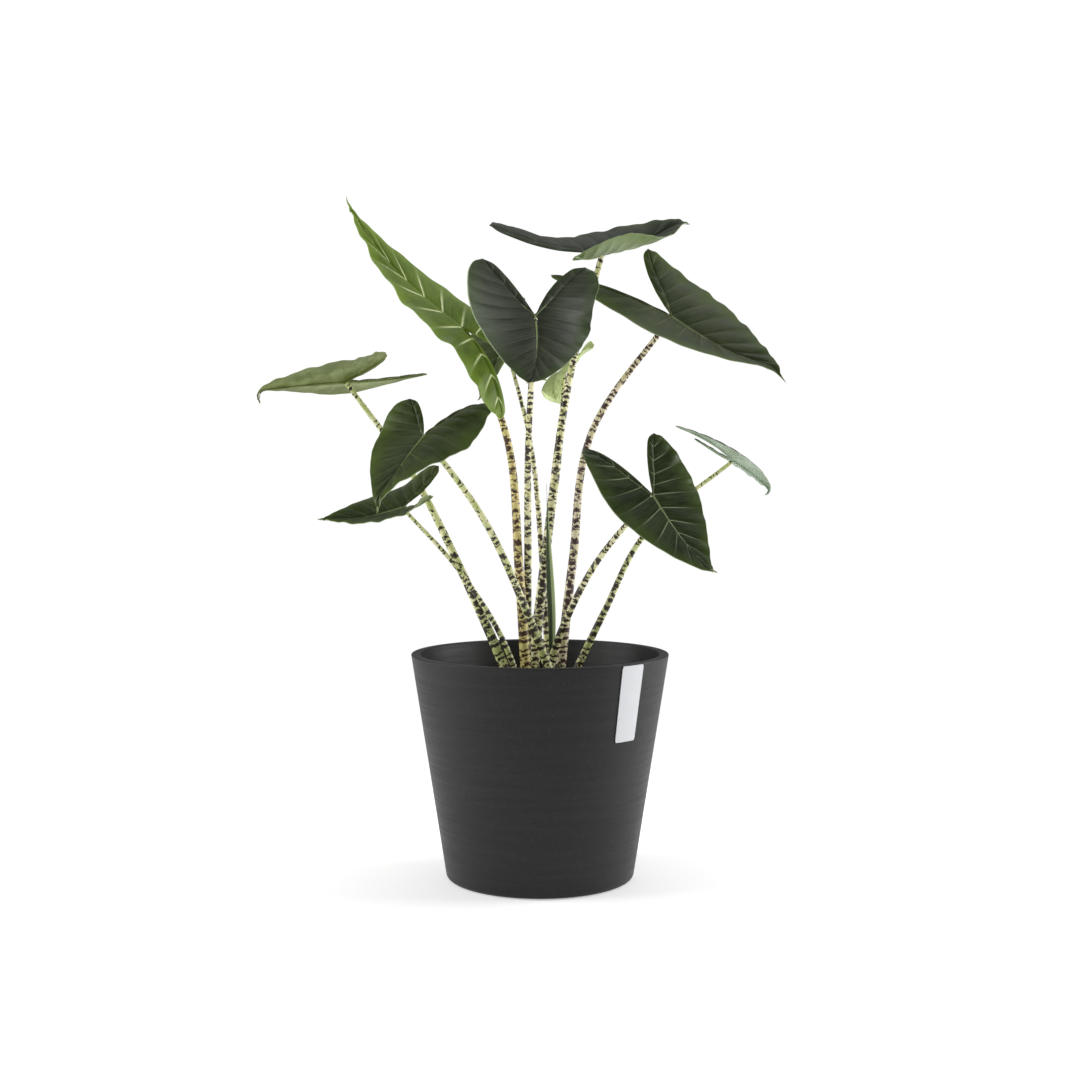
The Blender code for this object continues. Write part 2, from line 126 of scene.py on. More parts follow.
def makeTube(name, points, radii, sides, flatness=1.0):
    # a round bar from a primitive, cut into rings that are then set along the points
    deselectAll()
    bpy.ops.mesh.primitive_cylinder_add(vertices=sides, radius=1, depth=1, end_fill_type="NGON")
    tube = newPiece(name)
    rings = len(points) - 1
    bpy.ops.object.mode_set(mode="EDIT")
    bpy.context.tool_settings.mesh_select_mode = (False, True, False)
    bpy.ops.mesh.select_all(action="DESELECT")
    mesh = bmesh.from_edit_mesh(tube.data)
    for edge in mesh.edges:
        edge.select_set(abs(edge.verts[0].co.z - edge.verts[1].co.z) > 0.5)
    bmesh.update_edit_mesh(tube.data)
    if rings > 1:
        bpy.ops.mesh.subdivide(number_cuts=rings - 1)
    bpy.ops.object.mode_set(mode="OBJECT")
    frames = ringFrames(points)
    reach = [0.0]
    for before, after in zip(points, points[1:]):
        reach.append(reach[-1] + (after - before).length)
    place = tube.data.attributes.new("stalkPlace", "FLOAT_VECTOR", "POINT")
    for index, vert in enumerate(tube.data.vertices):
        ring = round((vert.co.z + 0.5) * rings)
        right, deep = frames[ring]
        place.data[index].vector = (vert.co.x * radii[ring], vert.co.y * radii[ring], reach[ring])
        vert.co = points[ring] + (right * vert.co.x + deep * vert.co.y * flatness) * radii[ring]
    return tube


def ringFrames(points):
    # two directions square to the run at each point, carried along without twist
    frames = []
    right = Vector((1, 0, 0))
    for index in range(len(points)):
        ahead = (points[min(index + 1, len(points) - 1)] - points[max(index - 1, 0)]).normalized()
        right = (right - ahead * right.dot(ahead)).normalized()
        frames.append((right, ahead.cross(right)))
    return frames


def newMaterial(name):
    material = bpy.data.materials.new(name)
    material.use_nodes = True
    tree = material.node_tree
    return material, tree, tree.nodes["Principled BSDF"]


def addNode(tree, kind, **settings):
    node = tree.nodes.new(kind)
    for key, value in settings.items():
        setattr(node, key, value)
    return node


def feed(tree, socket, value):
    if isinstance(value, bpy.types.NodeSocket):
        tree.links.new(value, socket)
    elif isinstance(value, tuple) and len(value) == 3 and len(socket.default_value) == 4:
        socket.default_value = (*value, 1.0)
    else:
        socket.default_value = value


def calculate(tree, operation, *values):
    node = addNode(tree, "ShaderNodeMath", operation=operation)
    for socket, value in zip(node.inputs, values):
        feed(tree, socket, value)
    return node.outputs[0]


def times(tree, value, factor):
    return calculate(tree, "MULTIPLY", value, factor)


def blend(tree, first, second, share):
    # this share of the first value and the rest of the second
    return calculate(tree, "ADD", times(tree, first, share), times(tree, second, 1 - share))


def fade(tree, value, fromLow, fromHigh, toLow=0.0, toHigh=1.0, kind="SMOOTHSTEP"):
    node = addNode(tree, "ShaderNodeMapRange", interpolation_type=kind)
    for socket, number in zip(node.inputs, (value, fromLow, fromHigh, toLow, toHigh)):
        feed(tree, socket, number)
    return node.outputs[0]


def mixColor(tree, amount, first, second):
    node = addNode(tree, "ShaderNodeMix", data_type="RGBA")
    feed(tree, node.inputs[0], amount)
    feed(tree, node.inputs[6], first)
    feed(tree, node.inputs[7], second)
    return node.outputs[2]


def attribute(tree, name):
    return addNode(tree, "ShaderNodeAttribute", attribute_name=name)


def combine(tree, x, y, z):
    node = addNode(tree, "ShaderNodeCombineXYZ")
    for socket, value in zip(node.inputs, (x, y, z)):
        feed(tree, socket, value)
    return node.outputs[0]


def noiseAt(tree, vector, scale, detail=2.0, roughness=0.5, distortion=0.0):
    node = addNode(tree, "ShaderNodeTexNoise")
    feed(tree, node.inputs["Vector"], vector)
    feed(tree, node.inputs["Scale"], scale)
    feed(tree, node.inputs["Detail"], detail)
    feed(tree, node.inputs["Roughness"], roughness)
    feed(tree, node.inputs["Distortion"], distortion)
    return node.outputs["Fac"]


def bump(tree, shader, height, distance, strength=1.0):
    node = addNode(tree, "ShaderNodeBump")
    feed(tree, node.inputs["Height"], height)
    feed(tree, node.inputs["Distance"], distance)
    feed(tree, node.inputs["Strength"], strength)
    tree.links.new(node.outputs["Normal"], shader.inputs["Normal"])


def objectCoordinates(tree, scale=(1, 1, 1)):
    coordinates = addNode(tree, "ShaderNodeTexCoord")
    mapping = addNode(tree, "ShaderNodeMapping")
    tree.links.new(coordinates.outputs["Object"], mapping.inputs["Vector"])
    mapping.inputs["Scale"].default_value = scale
    return mapping.outputs[0]


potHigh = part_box("cachepot")[1]
tubLow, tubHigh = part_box("nursery_pot")
mixLow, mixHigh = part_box("potting_mix")

cachepot = {
    "height": potHigh[2],
    "rimRadius": potHigh[0],
    "baseRadius": 0.109,
    "wall": 0.011,
    "floor": 0.012,
    "lipRound": 0.0014,
    "baseRound": 0.005,
    "sides": 160,
    "dark": (0.0085, 0.0085, 0.0088),
    "light": (0.0150, 0.0150, 0.0155),
    "fleck": (0.09, 0.09, 0.09),
    "roughness": (0.44, 0.58),
}

nurseryPot = {
    "bottom": tubLow[2],
    "top": tubHigh[2],
    "baseRadius": 0.088,
    "topRadius": 0.116,
    "wall": 0.0018,
    "lip": 0.004,
    "sides": 96,
    "black": (0.012, 0.012, 0.013),
    "scuffed": (0.05, 0.048, 0.045),
}

label = {
    "width": 0.033,
    "length": 0.086,
    "angle": math.radians(43.4),     # from the front towards +X
    "top": cachepot["height"] - 0.0012,
    "gap": 0.0004,
    "thickness": 0.0007,
    "corner": 0.0012,
    "dark": (0.55, 0.56, 0.58),
    "light": (0.62, 0.63, 0.65),
}

sameLevel = 0.0005            # faces this close in height lie at one level


def potRadius(height):
    flare = cachepot["rimRadius"] - cachepot["baseRadius"]
    return cachepot["baseRadius"] + flare * height / cachepot["height"]


def glazedStone():
    material, tree, shader = newMaterial("brushedAnthracite")
    streaks = noiseAt(tree, objectCoordinates(tree, (7, 7, 1100)), 1.0, 3.0, 0.6)
    patches = noiseAt(tree, objectCoordinates(tree, (8, 8, 130)), 1.0, 2.0, 0.5)
    grain = noiseAt(tree, objectCoordinates(tree), 900.0, 2.0, 0.6)
    tone = blend(tree, streaks, patches, 0.55)
    color = mixColor(tree, fade(tree, tone, 0.34, 0.70), cachepot["dark"], cachepot["light"])
    flecks = fade(tree, noiseAt(tree, objectCoordinates(tree), 1500.0, 1.0, 0.5), 0.66, 0.74)
    color = mixColor(tree, times(tree, flecks, 0.5), color, cachepot["fleck"])
    feed(tree, shader.inputs["Base Color"], color)
    feed(tree, shader.inputs["Roughness"], fade(tree, streaks, 0.3, 0.7, *cachepot["roughness"]))
    shader.inputs["Specular IOR Level"].default_value = 0.28
    bump(tree, shader, blend(tree, streaks, grain, 0.7), 0.0003, 0.5)
    return material


def nurseryPlastic():
    material, tree, shader = newMaterial("nurseryPlastic")
    scuffs = noiseAt(tree, objectCoordinates(tree, (40, 40, 14)), 1.0, 4.0, 0.6)
    color = mixColor(tree, fade(tree, scuffs, 0.4, 0.75), nurseryPot["black"], nurseryPot["scuffed"])
    feed(tree, shader.inputs["Base Color"], color)
    feed(tree, shader.inputs["Roughness"], fade(tree, scuffs, 0.3, 0.7, 0.38, 0.6))
    bump(tree, shader, noiseAt(tree, objectCoordinates(tree), 600.0), 0.0002, 0.4)
    return material


def labelPaper():
    material, tree, shader = newMaterial("plainLabel")
    fibres = noiseAt(tree, objectCoordinates(tree), 700.0, 3.0, 0.6)
    feed(tree, shader.inputs["Base Color"], mixColor(tree, fibres, label["dark"], label["light"]))
    shader.inputs["Roughness"].default_value = 0.42
    bump(tree, shader, fibres, 0.0001, 0.3)
    return material


def selectLevelEdges(piece, height, radius, tolerance=0.0006):
    # level edges of a turned piece that lie at this height and radius
    bpy.ops.mesh.select_all(action="DESELECT")
    mesh = bmesh.from_edit_mesh(piece.data)
    for edge in mesh.edges:
        level = all(abs(vert.co.z - height) < tolerance for vert in edge.verts)
        edge.select_set(level and all(abs(vert.co.xy.length - radius) < tolerance for vert in edge.verts))
    bmesh.update_edit_mesh(piece.data)


def selectFlatFace(piece, height, widest=1.0):
    # level faces at this height that reach no further out than widest
    bpy.ops.mesh.select_all(action="DESELECT")
    mesh = bmesh.from_edit_mesh(piece.data)
    for face in mesh.faces:
        flat = len(face.verts) > 4 and abs(face.calc_center_median().z - height) < sameLevel
        face.select_set(flat and max(vert.co.xy.length for vert in face.verts) < widest)
    bmesh.update_edit_mesh(piece.data)


def makeTub(name, sides, lowRadius, highRadius, bottom, top, wall, floor, innerLowRadius):
    # a tapered solid, with its top inset to the wall and pushed down to the inside floor
    deselectAll()
    height = top - bottom
    bpy.ops.mesh.primitive_cone_add(vertices=sides, radius1=lowRadius, radius2=highRadius, depth=height,
                                    location=(0, 0, bottom + height / 2))
    tub = newPiece(name)
    applyPlace(tub)
    bpy.ops.object.mode_set(mode="EDIT")
    bpy.context.tool_settings.mesh_select_mode = (False, False, True)
    selectFlatFace(tub, top)
    bpy.ops.mesh.inset(thickness=wall, use_even_offset=True)
    selectFlatFace(tub, top, highRadius - wall + 0.001)
    bpy.ops.mesh.extrude_region_move(TRANSFORM_OT_translate={"value": (0, 0, -(height - floor))})
    shrink = innerLowRadius / (highRadius - wall)
    bpy.ops.transform.resize(value=(shrink, shrink, 1), center_override=(0, 0, bottom + floor))
    bpy.ops.object.mode_set(mode="OBJECT")
    return tub


def roundEdges(piece, rings):
    bpy.context.view_layer.objects.active = piece
    bpy.ops.object.mode_set(mode="EDIT")
    bpy.context.tool_settings.mesh_select_mode = (False, True, False)
    for height, radius, width in rings:
        selectLevelEdges(piece, height, radius)
        bpy.ops.mesh.bevel(offset=width, offset_type="OFFSET", segments=5, profile=0.5)
    bpy.ops.object.mode_set(mode="OBJECT")


def makeCachepot():
    c = cachepot
    inner = potRadius(c["floor"]) - c["wall"]
    pot = makeTub("cachepotShell", c["sides"], c["baseRadius"], c["rimRadius"], 0, c["height"],
                  c["wall"], c["floor"], inner)
    roundEdges(pot, [
        (c["height"], c["rimRadius"], c["lipRound"]),
        (c["height"], c["rimRadius"] - c["wall"], c["lipRound"]),
        (0, c["baseRadius"], c["baseRound"]),
        (c["floor"], inner, c["baseRound"]),
    ])
    smoothShade(pot)
    pot.data.materials.append(glazedStone())
    finishPiece(pot, "glazed_stone", "cachepot")


def makeNurseryPot():
    n = nurseryPot
    tub = makeTub("nurseryTub", n["sides"], n["baseRadius"], n["topRadius"], n["bottom"], n["top"],
                  n["wall"], n["wall"], n["baseRadius"] - n["wall"])
    deselectAll()
    bpy.ops.mesh.primitive_torus_add(major_segments=n["sides"], minor_segments=12,
                                     major_radius=n["topRadius"] + n["lip"] / 2, minor_radius=n["lip"] / 2,
                                     location=(0, 0, n["top"] - n["lip"] / 2))
    lip = newPiece("nurseryLip")
    applyPlace(lip)
    tub = joinPieces("nurseryTub", [tub, lip])
    smoothShade(tub)
    tub.data.materials.append(nurseryPlastic())
    finishPiece(tub, "nursery_plastic", "nursery_pot")


def makeLabel():
    s = label
    deselectAll()
    bpy.ops.mesh.primitive_grid_add(x_subdivisions=16, y_subdivisions=28, size=1)
    strip = newPiece("labelStrip")
    for vert in strip.data.vertices:
        across, down = vert.co.x, 0.5 - vert.co.y
        fromEnd = min(down, 1 - down) * s["length"]
        cornerLeft = max(0.0, s["corner"] - fromEnd)
        narrow = s["corner"] - math.sqrt(max(0.0, s["corner"] ** 2 - cornerLeft ** 2))
        sideways = across * (s["width"] - 2 * narrow)
        height = s["top"] - down * s["length"]
        radius = potRadius(height) + s["gap"] + s["thickness"]
        angle = s["angle"] + sideways / cachepot["rimRadius"]
        vert.co = (radius * math.sin(angle), -radius * math.cos(angle), height)
    solidify = strip.modifiers.new("thickness", "SOLIDIFY")
    solidify.thickness = s["thickness"]
    solidify.offset = -1
    faceOutwards(strip, lambda centre: Vector((centre.x, centre.y, 0)))
    applyModifiers(strip)
    smoothShade(strip)
    strip.data.materials.append(labelPaper())
    finishPiece(strip, "label_white", "label_strip")


makeCachepot()
makeNurseryPot()
makeLabel()
print("pots and label done")


# half outline of a blade: x in half widths, y in blade lengths ahead of the stalk and lobe lengths behind it
outerMargin = [(0.0, 1.0), (0.05, 0.945), (0.22, 0.80), (0.50, 0.57), (0.78, 0.30),
               (0.97, 0.04), (1.0, -0.28), (0.93, -0.62), (0.78, -0.88), (0.60, -1.0)]
innerMargin = [(0.0, 0.0), (0.07, -0.18), (0.17, -0.42), (0.30, -0.70), (0.44, -0.93), (0.60, -1.0)]
lobeRib = [(0.0, 0.0), (0.20, -0.26), (0.40, -0.62), (0.60, -1.0)]
stalkVein = 5 / 9             # place on the outer margin of the vein that starts at the stalk
soilLevel = mixHigh[2]
leftSide, rightSide = 0, 1

blade = {
    "veinRows": 10,           # faces from one side vein to the next
    "columns": 20,            # faces from the rib to the margin
    "stripColumns": 6,        # faces from the lobe rib to the inner margin
    "frontVeins": 7,
    "lobeVeins": 5,
    "thickness": 0.0007,
    "sweep": 0.7,             # how far a side vein bends towards the tip, in vein gaps
    "puff": 0.10,             # rise of the blade between two veins, in vein gaps
    "mostPuff": 0.0013,
    "groove": 0.0008,         # depth of the midrib on the upper side
    "grooveReach": 0.05,      # its width, in half widths of the blade
    "ribRadius": 0.0019,
    "ribSteps": 24,
    "weld": 0.00002,
    "veinWidth": 0.06,        # painted width of a side vein, in vein gaps
    "underVeinWidth": 0.05,
    "filament": 0.004,        # length of the thread at the tip, where a leaf gives none
    "filamentSteps": 8,
}

# Angles in degrees, pairs are (left, right) seen from the stalk towards the tip, as in the solid model.
leaves = {
    "left_high": {
        "heading": 175, "pitch": 37, "roll": -23,
        "length": 0.190, "halfWidth": 0.059, "lobes": (0.117, 0.110),
        "fold": (-4, 12), "cup": (10, -21), "droop": -27, "tipCurl": -1,
        "lobeDroop": (40, 10), "lobeFold": (-22, 0), "wave": 0.0018, "filament": 0.007,
        "stalk": [(-0.014, -0.013), (-0.024, -0.028, 0.361), (-0.037, -0.024, 0.508),
                  (-0.088, -0.045, 0.636)],
        "baseRadius": 0.0068, "topRadius": 0.0030, "skin": "young", "stalkSkin": "amber",
    },
    "front_high": {
        "heading": -54, "pitch": -78, "roll": 1,
        "length": 0.078, "halfWidth": 0.093, "lobes": (0.062, 0.063),
        "fold": (10, -7), "cup": (-42, 29), "droop": 51, "tipCurl": 28,
        "lobeDroop": (-43, 17), "lobeFold": (15, 0), "wave": 0.0008, "fullness": 0.72,
        "stalk": [(-0.016, 0.013), (-0.014, -0.020, 0.358), (-0.013, -0.073, 0.503),
                  (-0.005, -0.110, 0.643)],
        "baseRadius": 0.0055, "topRadius": 0.0028, "skin": "slate", "stalkSkin": "cream",
    },
    "top": {
        "heading": 30, "pitch": 13, "roll": 21,
        "length": 0.128, "halfWidth": 0.078, "lobes": (0.141, 0.070),
        "fold": (19, 2), "cup": (-42, 60), "droop": -28, "tipCurl": 55,
        "lobeDroop": (-22, -4), "lobeFold": (20, -1), "wave": 0.0010,
        "stalk": [(-0.013, 0.027), (0.009, 0.029, 0.394), (0.033, 0.045, 0.573),
                  (0.074, 0.050, 0.732)],
        "baseRadius": 0.0068, "topRadius": 0.0032, "skin": "slate", "stalkSkin": "cream",
    },
    "right_high": {
        "heading": -33, "pitch": -33, "roll": 18,
        "length": 0.162, "halfWidth": 0.082, "lobes": (0.098, 0.146),
        "fold": (24, 7), "cup": (-37, 3), "droop": -23, "tipCurl": 44,
        "lobeDroop": (-30, 20), "lobeFold": (-4, -2), "wave": 0.0010, "filament": 0.01,
        "stalk": [(0.020, 0.008), (0.038, 0.010, 0.366), (0.060, 0.006, 0.518),
                  (0.152, 0.000, 0.652)],
        "baseRadius": 0.0065, "topRadius": 0.0030, "skin": "dark", "stalkSkin": "plum",
    },
    "left_middle": {
        "heading": 203, "pitch": -5, "roll": 23,
        "length": 0.116, "halfWidth": 0.053, "lobes": (0.050, 0.114),
        "fold": (13, 19), "cup": (-19, -22), "droop": 5, "tipCurl": 95,
        "lobeDroop": (-17, -4), "lobeFold": (9, 9), "wave": 0.0008,
        "stalk": [(-0.022, -0.025), (-0.082, -0.010, 0.339), (-0.146, 0.010, 0.465),
                  (-0.227, 0.015, 0.578)],
        "baseRadius": 0.0065, "topRadius": 0.0026, "skin": "olive", "stalkSkin": "fresh",
    },
    "left_front": {
        "heading": -117, "pitch": -32, "roll": 10,
        "length": 0.129, "halfWidth": 0.060, "lobes": (0.095, 0.056),
        "fold": (11, 18), "cup": (-72, -18), "droop": 9, "tipCurl": 37,
        "lobeDroop": (34, -25), "lobeFold": (17, 15), "wave": 0.0008,
        "stalk": [(0.026, -0.047), (-0.015, -0.060, 0.316), (-0.063, -0.079, 0.421),
                  (-0.128, -0.096, 0.513)],
        "baseRadius": 0.0058, "topRadius": 0.0028, "skin": "dark", "stalkSkin": "fresh",
    },
    "left_low": {
        "heading": 187, "pitch": -17, "roll": -23,
        "length": 0.093, "halfWidth": 0.061, "lobes": (0.036, 0.060),
        "fold": (6, 17), "cup": (24, -41), "droop": -26, "tipCurl": 14,
        "lobeDroop": (-1, -20), "lobeFold": (14, 13), "wave": 0.0008,
        "stalk": [(-0.014, -0.038), (-0.045, -0.041, 0.287), (-0.094, -0.047, 0.364),
                  (-0.156, -0.050, 0.433)],
        "baseRadius": 0.0040, "topRadius": 0.0020, "skin": "dark", "stalkSkin": "fresh",
    },
    "right_front": {
        "heading": -48, "pitch": -49, "roll": 17,
        "length": 0.128, "halfWidth": 0.055, "lobes": (0.071, 0.095),
        "fold": (19, -10), "cup": (-29, 9), "droop": -20, "tipCurl": -21,
        "lobeDroop": (-20, 30), "lobeFold": (4, 11), "wave": 0.0008, "filament": 0.009,
        "stalk": [(0.001, -0.027), (0.024, -0.052, 0.292), (0.065, -0.077, 0.375),
                  (0.124, -0.100, 0.448)],
        "baseRadius": 0.0055, "topRadius": 0.0026, "skin": "glossy", "stalkSkin": "cream",
    },
    "right_middle": {
        "heading": -12, "pitch": -32, "roll": -23,
        "length": 0.063, "halfWidth": 0.052, "lobes": (0.056, 0.078),
        "fold": (8, 10), "cup": (16, -38), "droop": 19, "tipCurl": 97,
        "lobeDroop": (3, 18), "lobeFold": (5, -3), "wave": 0.0006,
        "stalk": [(0.028, 0.036), (0.076, 0.035, 0.306), (0.127, 0.037, 0.402),
                  (0.229, 0.040, 0.486)],
        "baseRadius": 0.0052, "topRadius": 0.0022, "skin": "silver", "stalkSkin": "fresh",
    },
    "back_left": {
        "heading": -123, "pitch": -60, "roll": 12,
        "length": 0.089, "halfWidth": 0.050, "lobes": (0.046, 0.054),
        "fold": (20, 22), "cup": (-1, -14), "droop": -10, "tipCurl": -5,
        "lobeDroop": (0, -19), "lobeFold": (8, 11), "wave": 0.0006,
        "stalk": [(0.012, 0.061), (0.003, 0.072, 0.358), (-0.011, 0.077, 0.504),
                  (-0.043, 0.090, 0.632)],
        "baseRadius": 0.0045, "topRadius": 0.0020, "skin": "dark", "stalkSkin": "cream",
    },
    "back_right": {
        "heading": -110, "pitch": -3, "roll": 16,
        "length": 0.078, "halfWidth": 0.046, "lobes": (0.043, 0.058),
        "fold": (25, -5), "cup": (-9, -70), "droop": 68, "tipCurl": 25,
        "lobeDroop": (-17, 49), "lobeFold": (18, -17), "wave": 0.0008, "fullness": 0.6,
        "stalk": [(-0.008, 0.073), (0.006, 0.090, 0.355), (0.023, 0.095, 0.487),
                  (0.030, 0.110, 0.596)],
        "baseRadius": 0.0050, "topRadius": 0.0024, "skin": "pale", "stalkSkin": "cream",
    },
}

# colours of the upper side, the underside and the veins of each kind of blade
skins = {
    "slate": {
        "deep": (0.012, 0.016, 0.008), "mid": (0.034, 0.041, 0.022), "rim": (0.030, 0.052, 0.012),
        "vein": (0.095, 0.110, 0.070), "veinShow": 0.35, "ribShow": 0.60, "roughness": 0.46,
        "under": (0.30, 0.38, 0.20), "underDeep": (0.17, 0.23, 0.08), "slot": "dark_leaf",
    },
    "dark": {
        "deep": (0.018, 0.028, 0.007), "mid": (0.052, 0.068, 0.022), "rim": (0.055, 0.090, 0.012),
        "vein": (0.150, 0.180, 0.090), "veinShow": 0.35, "ribShow": 0.45, "roughness": 0.40,
        "under": (0.34, 0.40, 0.22), "underDeep": (0.15, 0.20, 0.06), "slot": "dark_leaf",
    },
    "olive": {
        "deep": (0.018, 0.028, 0.007), "mid": (0.052, 0.068, 0.022), "rim": (0.055, 0.090, 0.012),
        "vein": (0.150, 0.180, 0.090), "veinShow": 0.35, "ribShow": 0.45, "roughness": 0.40,
        "under": (0.300, 0.350, 0.150), "underDeep": (0.110, 0.145, 0.030), "slot": "dark_leaf",
    },
    "glossy": {
        "deep": (0.012, 0.020, 0.006), "mid": (0.038, 0.054, 0.018), "rim": (0.048, 0.078, 0.012),
        "vein": (0.420, 0.500, 0.300), "veinShow": 0.60, "ribShow": 0.95, "roughness": 0.30,
        "under": (0.30, 0.36, 0.20), "underDeep": (0.17, 0.22, 0.08), "slot": "dark_leaf",
    },
    "silver": {
        "deep": (0.012, 0.019, 0.006), "mid": (0.036, 0.050, 0.020), "rim": (0.045, 0.075, 0.015),
        "vein": (0.110, 0.140, 0.065), "veinShow": 0.30, "ribShow": 0.50, "roughness": 0.38,
        "under": (0.50, 0.59, 0.48), "underDeep": (0.30, 0.38, 0.27), "slot": "dark_leaf",
    },
    "young": {
        "deep": (0.075, 0.130, 0.010), "mid": (0.150, 0.225, 0.022), "rim": (0.190, 0.290, 0.040),
        "vein": (0.800, 0.880, 0.480), "veinShow": 1.0, "ribShow": 0.10, "roughness": 0.38,
        "veinWidth": 0.085,
        "under": (0.30, 0.40, 0.12), "underDeep": (0.20, 0.29, 0.06), "slot": "young_leaf",
    },
    "pale": {
        "deep": (0.34, 0.42, 0.16), "mid": (0.50, 0.58, 0.26), "rim": (0.44, 0.53, 0.22),
        "vein": (0.60, 0.68, 0.36), "veinShow": 0.50, "ribShow": 0.50, "roughness": 0.45,
        "under": (0.55, 0.64, 0.32), "underDeep": (0.44, 0.53, 0.24), "slot": "pale_leaf",
    },
}


def ribSlope(leaf, side, along, reach):
    if along >= 0:
        curl = leaf["tipCurl"] * smoothStep((reach - 0.8) / 0.2)
        return -math.radians(leaf["droop"] * reach ** 1.4 + curl)
    return math.radians(leaf["lobeDroop"][side] * reach ** 1.2)


def ribTable(leaf, side, along, steps=160):
    # (ahead, rise, slope) at even steps along the midrib, or along a lobe where along is negative
    length = leaf["length"] if along >= 0 else leaf["lobes"][side]
    ahead = rise = 0.0
    table = [(0.0, 0.0, 0.0)]
    for step in range(steps):
        slope = ribSlope(leaf, side, along, (step + 0.5) / steps)
        ahead += length / steps * math.cos(slope)
        rise += length / steps * math.sin(slope)
        table.append((ahead, rise, ribSlope(leaf, side, along, (step + 1) / steps)))
    return table


def readTable(table, reach):
    scaled = min(max(reach, 0.0), 1.0) * (len(table) - 1)
    index = min(int(scaled), len(table) - 2)
    part = scaled - index
    return [low + (high - low) * part for low, high in zip(table[index], table[index + 1])]


def bladePoint(leaf, side, across, along):
    table = leaf["tables"][side][0 if along >= 0 else 1]
    ahead, rise, slope = readTable(table, abs(along))
    if along < 0:
        ahead, rise = -ahead, -rise
    back = smoothStep(-along / 0.9)
    fold = math.radians(leaf["fold"][side] + leaf["lobeFold"][side] * back)
    bend = math.radians(leaf["cup"][side]) or 1e-4
    width = leaf["halfWidth"]
    out = width * (math.sin(fold + bend * across) - math.sin(fold)) / bend
    lift = width * (math.cos(fold) - math.cos(fold + bend * across)) / bend
    mirror = -1 if side == leftSide else 1
    return Vector((mirror * out, ahead - lift * math.sin(slope), rise + lift * math.cos(slope)))


def bladeAxes(leaf):
    heading, pitch, roll = (math.radians(leaf[key]) for key in ("heading", "pitch", "roll"))
    ahead = Vector((
        math.cos(pitch) * math.cos(heading),
        math.cos(pitch) * math.sin(heading),
        math.sin(pitch),
    ))
    levelRight = Vector((math.sin(heading), -math.cos(heading), 0))
    levelUp = levelRight.cross(ahead)
    right = math.cos(roll) * levelRight - math.sin(roll) * levelUp
    up = math.cos(roll) * levelUp + math.sin(roll) * levelRight
    return Matrix((right, ahead, up)).transposed()


def flatPoint(leaf, part, across):
    # part: 0 at the tip, 1 at the stalk, 2 at the end of the lobe; across: 0 at the rib, 1 at the margin,
    # and below 0 inside the lobe rib
    if part <= 1 and across >= 0:
        rib = Vector((0, 1 - part))
        margin = curvePoint(outerMargin, part * stalkVein)
        full = leaf.get("fullness", 1)
        margin.x = max(margin.x, 0) ** (full + (1 - full) * part)
    else:
        rib = curvePoint(lobeRib, part - 1)
        if across < 0:
            margin = curvePoint(innerMargin, part - 1)
        else:
            margin = curvePoint(outerMargin, stalkVein + (part - 1) * (1 - stalkVein))
    return rib.lerp(margin, abs(across))


def partOf(vein):
    # side veins are numbered from the tip; the one at frontVeins starts at the stalk
    if vein <= blade["frontVeins"]:
        return vein / blade["frontVeins"]
    return 1 + (vein - blade["frontVeins"]) / blade["lobeVeins"]


def veinLift(leaf, vein, across):
    # height over the flat blade: puffed between the side veins, sunk along the rib
    puff = min(blade["mostPuff"], blade["puff"] * leaf["length"] / blade["frontVeins"])
    between = abs(math.sin(math.pi * vein)) ** 0.7
    spread = math.sin(math.pi * min(1.0, abs(across) * 1.04 + 0.02)) ** 0.6 if abs(across) < 0.94 else 0.0
    return puff * between * spread - blade["groove"] * math.exp(-(across / blade["grooveReach"]) ** 2)


def bladeHalf(leaf, name, side, strip):
    # one half of a blade, or the strip inside a lobe's rib, laid out from a flat grid
    deselectAll()
    firstVein = blade["frontVeins"] if strip else 0
    veins = blade["frontVeins"] + blade["lobeVeins"] - firstVein
    columns = blade["stripColumns"] if strip else blade["columns"]
    bpy.ops.mesh.primitive_grid_add(x_subdivisions=columns, y_subdivisions=veins * blade["veinRows"], size=1)
    half = newPiece(f"{name}Half")
    places = half.data.attributes.new("veinPlace", "FLOAT", "POINT")
    acrosses = half.data.attributes.new("acrossPlace", "FLOAT", "POINT")
    for index, vert in enumerate(half.data.vertices):
        vein = firstVein + (vert.co.y + 0.5) * veins
        across = -(vert.co.x + 0.5) if strip else vert.co.x + 0.5
        ends = math.sin(math.pi * min(max((vein - firstVein) / veins, 0), 1)) ** 0.5
        bent = vein - blade["sweep"] * ends * abs(across) * (1 - 0.6 * abs(across)) * (0 if strip else 1)
        flat = flatPoint(leaf, min(max(partOf(bent), 0), 2), across)
        point = bladePoint(leaf, side, max(flat.x, 0), flat.y)
        edge = smoothStep((across - 0.4) / 0.6)
        ripple = math.sin(vein * 4.1 + side * 1.7) + 0.6 * math.sin(vein * 7.3 + 1.1)
        point.z += leaf["wave"] * edge * ends * ripple * (1 if side == leftSide else 0.35)
        vert.co = leaf["origin"] + leaf["axes"] @ point
        places.data[index].value = vein
        acrosses.data[index].value = across
    return half


